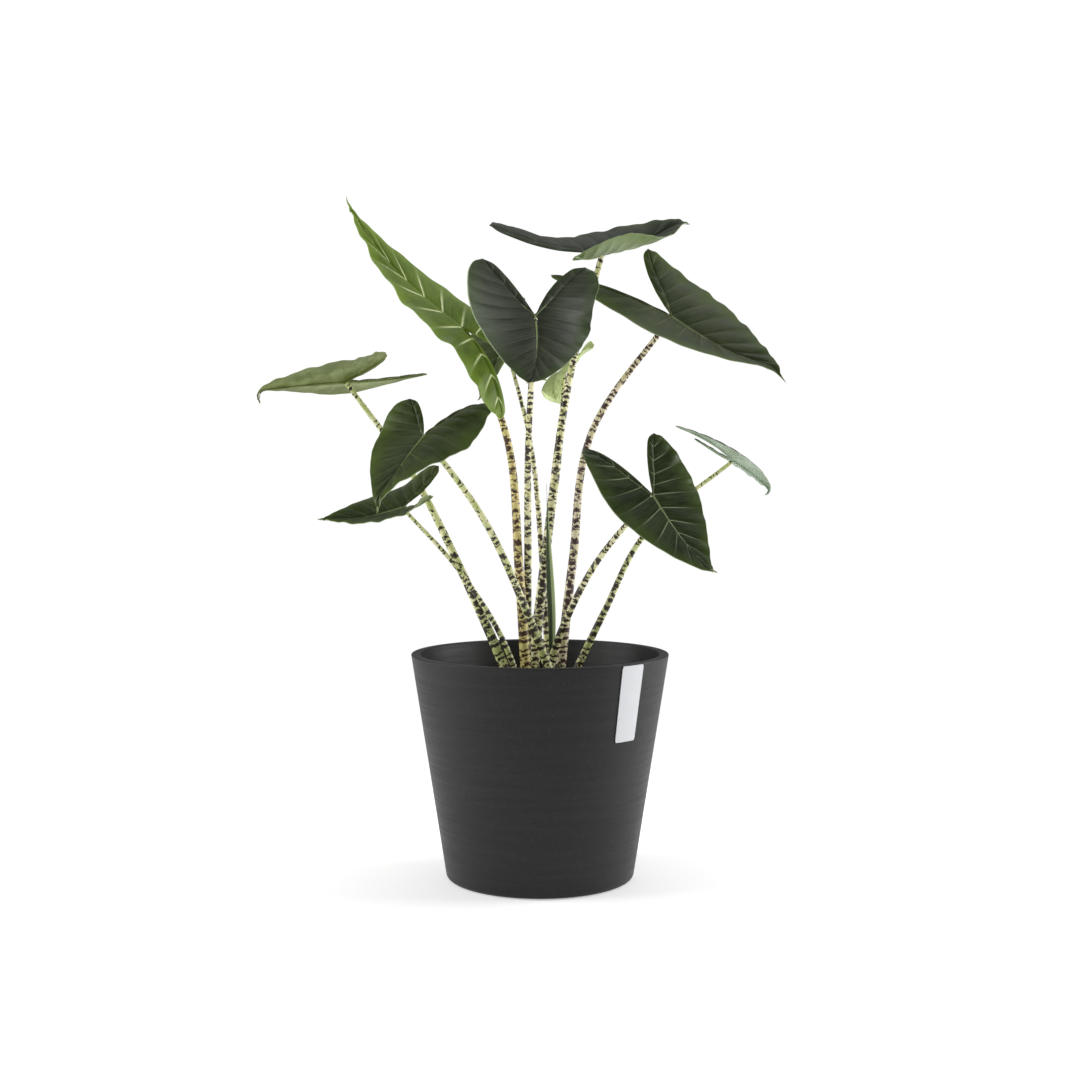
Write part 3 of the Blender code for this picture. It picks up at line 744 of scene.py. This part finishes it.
def makeBlade(name, leaf):
    leaf["tables"] = [(ribTable(leaf, side, 1), ribTable(leaf, side, -1)) for side in (leftSide, rightSide)]
    leaf["axes"] = bladeAxes(leaf)
    leaf["origin"] = Vector(leaf["stalk"][-1])
    halves = [bladeHalf(leaf, name, side, strip) for side in (leftSide, rightSide) for strip in (False, True)]
    sheet = joinPieces(f"blade_{name}_skin", halves)
    bpy.ops.object.mode_set(mode="EDIT")
    bpy.ops.mesh.select_all(action="SELECT")
    bpy.ops.mesh.remove_doubles(threshold=blade["weld"])
    bpy.ops.mesh.normals_make_consistent(inside=False)
    bpy.ops.object.mode_set(mode="OBJECT")
    up = leaf["axes"].col[2]
    faceOutwards(sheet, lambda centre: up)
    mesh = sheet.data
    lifts = []
    for index, vert in enumerate(mesh.vertices):
        place = mesh.attributes["veinPlace"].data[index].value
        across = mesh.attributes["acrossPlace"].data[index].value
        lifts.append(vert.co + vert.normal * veinLift(leaf, place, across))
    for vert, point in zip(mesh.vertices, lifts):
        vert.co = point
    solidify = sheet.modifiers.new("thickness", "SOLIDIFY")
    solidify.thickness = blade["thickness"]
    solidify.offset = -1
    solidify.material_offset = 1
    solidify.material_offset_rim = 0
    skin = skins[leaf["skin"]]
    mesh.materials.append(skin["topMaterial"])
    mesh.materials.append(skin["underMaterial"])
    applyModifiers(sheet)
    extras = makeRibs(name, leaf, skin) + [makeFilament(name, leaf, skin)]
    sheet = joinPieces(f"blade_{name}_skin", [sheet, *extras])
    smoothShade(sheet, 60)
    finishPiece(sheet, skin["slot"], f"blade_{name}")


def bladeNormal(leaf, side, x, y):
    step = 0.004
    here = bladePoint(leaf, side, x, y)
    sideways = bladePoint(leaf, side, x + step, y) - here
    forward = bladePoint(leaf, side, x, y + step if y < 0 or y + step <= 1 else y - step) - here
    if y >= 0 and y + step > 1:
        forward = -forward
    normal = sideways.cross(forward)
    if side == leftSide:
        normal = -normal
    return normal.normalized()


def makeRibs(name, leaf, skin):
    # raised ribs under the blade: the midrib and one along each lobe
    ribs = []
    for side, along in ((rightSide, True), (leftSide, False), (rightSide, False)):
        points = []
        radii = []
        count = blade["ribSteps"]
        for step in range(count + 1):
            part = 1 - step / count * 0.97 if along else 1 + step / count * 0.94
            flat = flatPoint(leaf, part, 0)
            point = bladePoint(leaf, side, flat.x, flat.y)
            down = -bladeNormal(leaf, side, flat.x, flat.y)
            if along:
                down = Vector((0, down.y, down.z)).normalized()
            radius = blade["ribRadius"] * (1 if along else 0.8) * (1 - 0.8 * step / count)
            sink = blade["thickness"] + blade["groove"] + radius * 0.1
            points.append(leaf["origin"] + leaf["axes"] @ (point + down * sink))
            radii.append(radius)
        rib = makeTube(f"{name}Rib", points, radii, 8)
        rib.data.materials.append(skin["topMaterial"])
        rib.data.materials.append(skin["underMaterial"])
        for face in rib.data.polygons:
            face.material_index = 1
        ribs.append(rib)
    return ribs


def makeFilament(name, leaf, skin):
    # the dry thread at the tip of a blade
    tip, before = (bladePoint(leaf, rightSide, 0, along) for along in (1.0, 0.96))
    ahead = (tip - before).normalized()
    length = leaf.get("filament", blade["filament"])
    points = []
    radii = []
    for step in range(blade["filamentSteps"] + 1):
        part = step / blade["filamentSteps"]
        bend = Vector((0.3, 0, 0.25)) * length * part ** 2
        points.append(leaf["origin"] + leaf["axes"] @ (tip + ahead * length * (part - 0.15) + bend))
        radii.append(0.0009 * (1 - part) + 0.00018)
    thread = makeTube(f"{name}Filament", points, radii, 8)
    thread.data.materials.append(skin["topMaterial"])
    thread.data.materials.append(skin["underMaterial"])
    for face in thread.data.polygons:
        face.material_index = 1
    return thread


def veinNodes(tree, width):
    # (vein number, distance over the blade, side, mask of the side veins)
    place = attribute(tree, "veinPlace").outputs["Fac"]
    across = attribute(tree, "acrossPlace").outputs["Fac"]
    side = calculate(tree, "ABSOLUTE", across)
    offVein = calculate(tree, "PINGPONG", place, 0.5)
    return place, across, side, fade(tree, offVein, 0.0, width, 1.0, 0.0)


def leafTop(name, skin):
    material, tree, shader = newMaterial(f"{name}LeafTop")
    place, across, side, veinMask = veinNodes(tree, skin.get("veinWidth", blade["veinWidth"]))
    cloud = noiseAt(tree, objectCoordinates(tree), 26.0, 3.0, 0.55)
    veinMask = times(tree, veinMask, fade(tree, side, 0.25, 0.80, 1.0, 0.1))
    veinMask = times(tree, veinMask, fade(tree, cloud, 0.3, 0.5, 0.5, 1.0))
    ribMask = fade(tree, side, 0.008, 0.03, 1.0, 0.0)
    along = combine(tree, times(tree, place, 9.0), times(tree, across, 2.5), 0.0)
    streaks = noiseAt(tree, along, 1.0, 3.0, 0.6)
    tone = blend(tree, streaks, cloud, 0.6)
    color = mixColor(tree, fade(tree, tone, 0.34, 0.66), skin["deep"], skin["mid"])
    rimMask = times(tree, fade(tree, side, 0.5, 1.0), fade(tree, cloud, 0.3, 0.7, 0.4, 1.0))
    color = mixColor(tree, rimMask, color, skin["rim"])
    color = mixColor(tree, times(tree, veinMask, skin["veinShow"]), color, skin["vein"])
    color = mixColor(tree, times(tree, ribMask, skin["ribShow"]), color, skin["vein"])
    # thin pale line along the margin in the underside colour: partly the leaf's own pale edge, partly a
    # painted highlight where light catches the margin
    color = mixColor(tree, fade(tree, across, 0.980, 0.996, 0.0, 0.75), color, skin["under"])
    feed(tree, shader.inputs["Base Color"], color)
    rough = fade(tree, streaks, 0.3, 0.7, skin["roughness"] - 0.04, skin["roughness"] + 0.08)
    feed(tree, shader.inputs["Roughness"], rough)
    shader.inputs["Specular IOR Level"].default_value = 0.16
    fine = noiseAt(tree, objectCoordinates(tree), 380.0, 2.0, 0.6)
    height = calculate(tree, "SUBTRACT", blend(tree, streaks, fine, 0.85), times(tree, veinMask, 0.5))
    bump(tree, shader, height, 0.0004, 0.25)
    return material


def leafUnder(name, skin):
    material, tree, shader = newMaterial(f"{name}LeafUnder")
    side, veinMask = veinNodes(tree, blade["underVeinWidth"])[2:]
    cloud = noiseAt(tree, objectCoordinates(tree), 32.0, 3.0, 0.55)
    color = mixColor(tree, fade(tree, cloud, 0.35, 0.7), skin["underDeep"], skin["under"])
    color = mixColor(tree, fade(tree, side, 0.5, 1.0, 0.0, 0.5), color, skin["underDeep"])
    color = mixColor(tree, times(tree, veinMask, 0.45), color, skin["underDeep"])
    feed(tree, shader.inputs["Base Color"], color)
    feed(tree, shader.inputs["Roughness"], fade(tree, cloud, 0.3, 0.7, 0.46, 0.58))
    shader.inputs["Specular IOR Level"].default_value = 0.25
    bump(tree, shader, calculate(tree, "ADD", times(tree, cloud, 0.15), veinMask), 0.0003, 0.15)
    return material


for skinName, skin in skins.items():
    skin["topMaterial"] = leafTop(skinName, skin)
    skin["underMaterial"] = leafUnder(skinName, skin)

for leafName, leaf in leaves.items():
    makeBlade(leafName, leaf)
print("leaves done")


stalk = {
    "rings": 90,
    "sides": 20,
    "plantingDepth": 0.012,
    "rootRun": 0.03,          # share of the route that gives its direction in the mix
    "taper": 0.8,
    "bareFrom": 0.16,         # run over which the marks thin out towards the blade
    "bareTo": 0.34,
    "warpScale": 240.0,
    "warpReach": 0.007,       # how far the marks wander along the stalk
    "markScale": (120.0, 400.0),    # marks across and along the stalk
    "markEdge": 0.03,
}

stalkSkins = {
    "cream": {
        "pale": (0.80, 0.76, 0.48), "fresh": (0.60, 0.60, 0.26),
        "mark": (0.026, 0.017, 0.007), "share": (0.49, 0.50),
    },
    "fresh": {
        "pale": (0.74, 0.74, 0.40), "fresh": (0.46, 0.52, 0.16),
        "mark": (0.028, 0.020, 0.008), "share": (0.50, 0.60),
    },
    "amber": {
        "pale": (0.76, 0.62, 0.26), "fresh": (0.62, 0.56, 0.20),
        "mark": (0.060, 0.026, 0.007), "share": (0.50, 0.51),
    },
    "plum": {
        "pale": (0.78, 0.68, 0.50), "fresh": (0.60, 0.56, 0.30),
        "mark": (0.050, 0.020, 0.018), "share": (0.49, 0.50),
    },
}


def stalkSkin(name, skin):
    material, tree, shader = newMaterial(f"{name}Stalk")
    place = attribute(tree, "stalkPlace").outputs["Vector"]
    parts = addNode(tree, "ShaderNodeSeparateXYZ")
    tree.links.new(place, parts.inputs[0])
    warp = noiseAt(tree, place, stalk["warpScale"], 2.0, 0.5)
    run = calculate(tree, "ADD", parts.outputs[2], times(tree, warp, stalk["warpReach"]))
    around, along = stalk["markScale"]
    spots = combine(tree, times(tree, parts.outputs[0], around), times(tree, parts.outputs[1], around),
                    times(tree, run, along))
    bars = noiseAt(tree, spots, 1.0, 1.0, 0.4)
    bare = fade(tree, parts.outputs[2], stalk["bareFrom"], stalk["bareTo"], *skin["share"])
    marks = fade(tree, calculate(tree, "SUBTRACT", bars, bare), -stalk["markEdge"], stalk["markEdge"])
    cloud = noiseAt(tree, place, 45.0, 2.0, 0.5)
    color = mixColor(tree, fade(tree, cloud, 0.35, 0.7), skin["pale"], skin["fresh"])
    color = mixColor(tree, marks, color, skin["mark"])
    feed(tree, shader.inputs["Base Color"], color)
    feed(tree, shader.inputs["Roughness"], fade(tree, cloud, 0.3, 0.7, 0.38, 0.5))
    bump(tree, shader, bars, 0.0003, 0.3)
    return material


def stalkRoute(leaf):
    root = Vector((*leaf["stalk"][0], soilLevel))
    return [root, *(Vector(point) for point in leaf["stalk"][1:])]


def makeStalk(name, leaf):
    path = stalkRoute(leaf)
    start = (curvePoint(path, stalk["rootRun"]) - path[0]).normalized()
    points = [path[0] - start * stalk["plantingDepth"]]
    radii = [leaf["baseRadius"]]
    for step in range(stalk["rings"] + 1):
        amount = step / stalk["rings"]
        points.append(curvePoint(path, amount))
        radii.append(leaf["baseRadius"] + (leaf["topRadius"] - leaf["baseRadius"]) * amount ** stalk["taper"])
    ahead = (points[-1] - points[-3]).normalized()
    under = -leaf["axes"].col[2]
    tilt = math.sqrt(max(0.0, 1 - ahead.dot(under) ** 2))        # a stalk that comes in flat sits lower
    points[-1] = path[-1] + under * (blade["thickness"] + blade["groove"] + leaf["topRadius"] * tilt)
    tube = makeTube(f"petiole_{name}_skin", points, radii, stalk["sides"])
    smoothShade(tube)
    tube.data.materials.append(stalkSkins[leaf["stalkSkin"]]["material"])
    finishPiece(tube, "marked_stalk", f"petiole_{name}")


for skinName, skin in stalkSkins.items():
    skin["material"] = stalkSkin(skinName, skin)
for leafName, leaf in leaves.items():
    makeStalk(leafName, leaf)
print("stalks done")


mix = {
    "low": mixLow[2],
    "top": mixHigh[2],
    "lowRadius": 0.0855,
    "topRadius": mixHigh[0],
    "rings": 26,
    "lumps": 0.0030,
    "chips": 420,
    "chipSize": (0.0016, 0.0042),
    "chipLift": 0.0004,
    "dark": (0.010, 0.007, 0.005),
    "brown": (0.060, 0.036, 0.020),
    "crumb": (0.085, 0.055, 0.032),
    "sides": 96,
}

spear = {
    "path": [(0.0125, -0.005, soilLevel), (0.014, -0.006, 0.290), (0.0105, -0.008, 0.375),
             (0.0075, -0.010, 0.459)],
    "halfWidth": 0.0047,
    "flatness": 0.42,
    "rings": 70,
    "dark": (0.030, 0.055, 0.014),
    "pale": (0.36, 0.44, 0.20),
    "streak": (0.12, 0.18, 0.05),
}


def barkMix():
    material, tree, shader = newMaterial("barkMix")
    crumbs = addNode(tree, "ShaderNodeTexVoronoi")
    tree.links.new(objectCoordinates(tree), crumbs.inputs["Vector"])
    crumbs.inputs["Scale"].default_value = 260
    cloud = noiseAt(tree, objectCoordinates(tree), 70.0, 4.0, 0.6)
    color = mixColor(tree, fade(tree, cloud, 0.35, 0.65), mix["dark"], mix["brown"])
    edges = fade(tree, crumbs.outputs["Distance"], 0.25, 0.7, 0.0, 0.5)
    color = mixColor(tree, edges, color, mix["crumb"])
    feed(tree, shader.inputs["Base Color"], color)
    shader.inputs["Roughness"].default_value = 0.9
    bump(tree, shader, calculate(tree, "ADD", cloud, crumbs.outputs["Distance"]), 0.002, 0.8)
    return material


def makeMix():
    deselectAll()
    height = mix["top"] - mix["low"]
    bpy.ops.mesh.primitive_cone_add(vertices=mix["sides"], radius1=mix["lowRadius"], radius2=mix["topRadius"],
                                    depth=height, location=(0, 0, mix["low"] + height / 2))
    soil = newPiece("mixBody")
    applyPlace(soil)
    bpy.ops.object.mode_set(mode="EDIT")
    bpy.context.tool_settings.mesh_select_mode = (False, False, True)
    selectFlatFace(soil, mix["top"])
    for ring in range(mix["rings"]):
        bpy.ops.mesh.inset(thickness=mix["topRadius"] / (mix["rings"] + 1))
    bpy.ops.object.mode_set(mode="OBJECT")
    for vert in soil.data.vertices:
        if vert.co.z > mix["top"] - 0.001 and vert.co.xy.length < mix["topRadius"] - 0.002:
            vert.co.z += mix["lumps"] * (noise.fractal(vert.co * 55, 0.7, 2, 4) - 0.3)
    chips = [makeChip(number) for number in range(mix["chips"])]
    soil = joinPieces("potting_mix_skin", [soil, *chips])
    smoothShade(soil, 30)
    soil.data.materials.clear()
    soil.data.materials.append(barkMix())
    finishPiece(soil, "potting_mix", "potting_mix")


def makeChip(number):
    # a flat broken piece of bark, at a random place and turn
    angle = random.uniform(0, 2 * math.pi)
    radius = (mix["topRadius"] - 0.006) * math.sqrt(random.random())
    size = random.uniform(*mix["chipSize"])
    turn = tuple(random.uniform(0, 2 * math.pi) for axis in range(3))
    place = (radius * math.cos(angle), radius * math.sin(angle), mix["top"] + mix["chipLift"])
    scale = (1.0, random.uniform(0.4, 0.8), random.uniform(0.2, 0.45))
    bpy.ops.mesh.primitive_ico_sphere_add(subdivisions=1, radius=size, rotation=turn,
                                          location=place, scale=scale)
    return newPiece(f"chip{number}")


def spearSkin():
    material, tree, shader = newMaterial("rolledLeaf")
    parts = addNode(tree, "ShaderNodeSeparateXYZ")
    tree.links.new(attribute(tree, "stalkPlace").outputs["Vector"], parts.inputs[0])
    stretched = combine(tree, times(tree, parts.outputs[0], 900.0), 0.0, times(tree, parts.outputs[2], 25.0))
    streaks = noiseAt(tree, stretched, 1.0, 2.0, 0.5)
    edge = calculate(tree, "ADD", parts.outputs[0], times(tree, streaks, 0.0008))
    color = mixColor(tree, fade(tree, edge, -0.0002, 0.0014), spear["dark"], spear["pale"])
    color = mixColor(tree, fade(tree, streaks, 0.45, 0.7, 0.0, 0.3), color, spear["streak"])
    feed(tree, shader.inputs["Base Color"], color)
    shader.inputs["Roughness"].default_value = 0.42
    bump(tree, shader, streaks, 0.0003, 0.4)
    return material


def makeSpear():
    path = [Vector(point) for point in spear["path"]]
    points = [path[0] - (curvePoint(path, stalk["rootRun"]) - path[0]).normalized() * stalk["plantingDepth"]]
    radii = [spear["halfWidth"] * 0.45]
    for step in range(spear["rings"] + 1):
        amount = step / spear["rings"]
        points.append(curvePoint(path, amount))
        swell = 0.45 + 0.55 * smoothStep(amount / 0.45)
        radii.append(max(0.0002, spear["halfWidth"] * swell * (1 - smoothStep((amount - 0.5) / 0.51))))
    body = makeTube("spearBody", points, radii, 24, spear["flatness"])
    front = Vector((0.15, -spear["flatness"] * 0.9, 0))           # where the seam runs, in radii
    fold = [point + front * radius for point, radius in zip(points, radii)]
    seam = makeTube("spearSeam", fold, [radius * 0.16 for radius in radii], 8)
    roll = joinPieces("spear_skin", [body, seam])
    smoothShade(roll, 60)
    roll.data.materials.append(spearSkin())
    finishPiece(roll, "spear_green", "spear")


makeMix()
makeSpear()
print("mix and spear done")


studio = {
    "distance": 1.9,
    "height": 0.4853,
    "down": math.radians(2.767),
    "lens": 54.6,
    "sensor": 36,
    "aim": (0, 0, 0.4),        # where the lights point
    "backdrop": 1.02,          # brightness of the white that the camera sees
    "ambient": 0.34,           # light from all round
    "floorGlow": 0.33,         # keeps the floor as pale as the backdrop
    "fadeStart": 0.45,         # the floor runs into the backdrop between these distances
    "fadeEnd": 1.30,
    # name: (power, size, place)
    "lights": {
        "rightBox": (44.0, 1.5, (2.1, 0.3, 0.9)),
        "leftBox": (42.0, 1.5, (-2.1, -0.2, 1.1)),
        "topBox": (14.0, 2.2, (0.4, 0.6, 2.6)),
    },
}


def makeFloor():
    deselectAll()
    bpy.ops.mesh.primitive_plane_add(size=60, location=(0, 0, -0.0003))
    floor = newPiece("studioFloor")
    material, tree, shader = newMaterial("paleFloor")
    shader.inputs["Base Color"].default_value = (0.93, 0.93, 0.93, 1)
    shader.inputs["Roughness"].default_value = 0.6
    shader.inputs["Specular IOR Level"].default_value = 0.2
    shader.inputs["Emission Color"].default_value = (1, 1, 1, 1)
    shader.inputs["Emission Strength"].default_value = studio["floorGlow"]
    coordinates = addNode(tree, "ShaderNodeTexCoord")
    length = addNode(tree, "ShaderNodeVectorMath", operation="LENGTH")
    tree.links.new(coordinates.outputs["Object"], length.inputs[0])
    glow = addNode(tree, "ShaderNodeEmission")
    glow.inputs["Strength"].default_value = studio["backdrop"]
    blend = addNode(tree, "ShaderNodeMixShader")
    feed(tree, blend.inputs[0], fade(tree, length.outputs["Value"], studio["fadeStart"], studio["fadeEnd"]))
    tree.links.new(shader.outputs[0], blend.inputs[1])
    tree.links.new(glow.outputs[0], blend.inputs[2])
    tree.links.new(blend.outputs[0], tree.nodes["Material Output"].inputs["Surface"])
    floor.data.materials.append(material)


def addSoftLight(name, power, size, place):
    settings = bpy.data.lights.new(name, "AREA")
    settings.energy = power
    settings.size = size
    lamp = bpy.data.objects.new(name, settings)
    bpy.context.collection.objects.link(lamp)
    lamp.visible_camera = False
    lamp.location = place
    lamp.rotation_euler = (Vector(studio["aim"]) - Vector(place)).to_track_quat("-Z", "Y").to_euler()


def lightStudio():
    world = bpy.data.worlds.new("studioWorld")
    world.use_nodes = True
    tree = world.node_tree
    seen = addNode(tree, "ShaderNodeLightPath").outputs["Is Camera Ray"]
    feed(tree, tree.nodes["Background"].inputs["Color"], (1.0, 1.0, 1.0))
    strength = fade(tree, seen, 0.0, 1.0, studio["ambient"], studio["backdrop"], "LINEAR")
    feed(tree, tree.nodes["Background"].inputs["Strength"], strength)
    bpy.context.scene.world = world
    for name, (power, size, place) in studio["lights"].items():
        addSoftLight(name, power, size, place)


def placeCamera():
    settings = bpy.data.cameras.new("studioCamera")
    settings.lens = studio["lens"]
    settings.sensor_width = studio["sensor"]
    camera = bpy.data.objects.new("studioCamera", settings)
    bpy.context.collection.objects.link(camera)
    camera.location = (0, -studio["distance"], studio["height"])
    camera.rotation_euler = (math.pi / 2 - studio["down"], 0, 0)
    bpy.context.scene.camera = camera


makeFloor()
lightStudio()
placeCamera()
bpy.context.scene.view_settings.view_transform = "Standard"
deselectAll()

print("scene done")
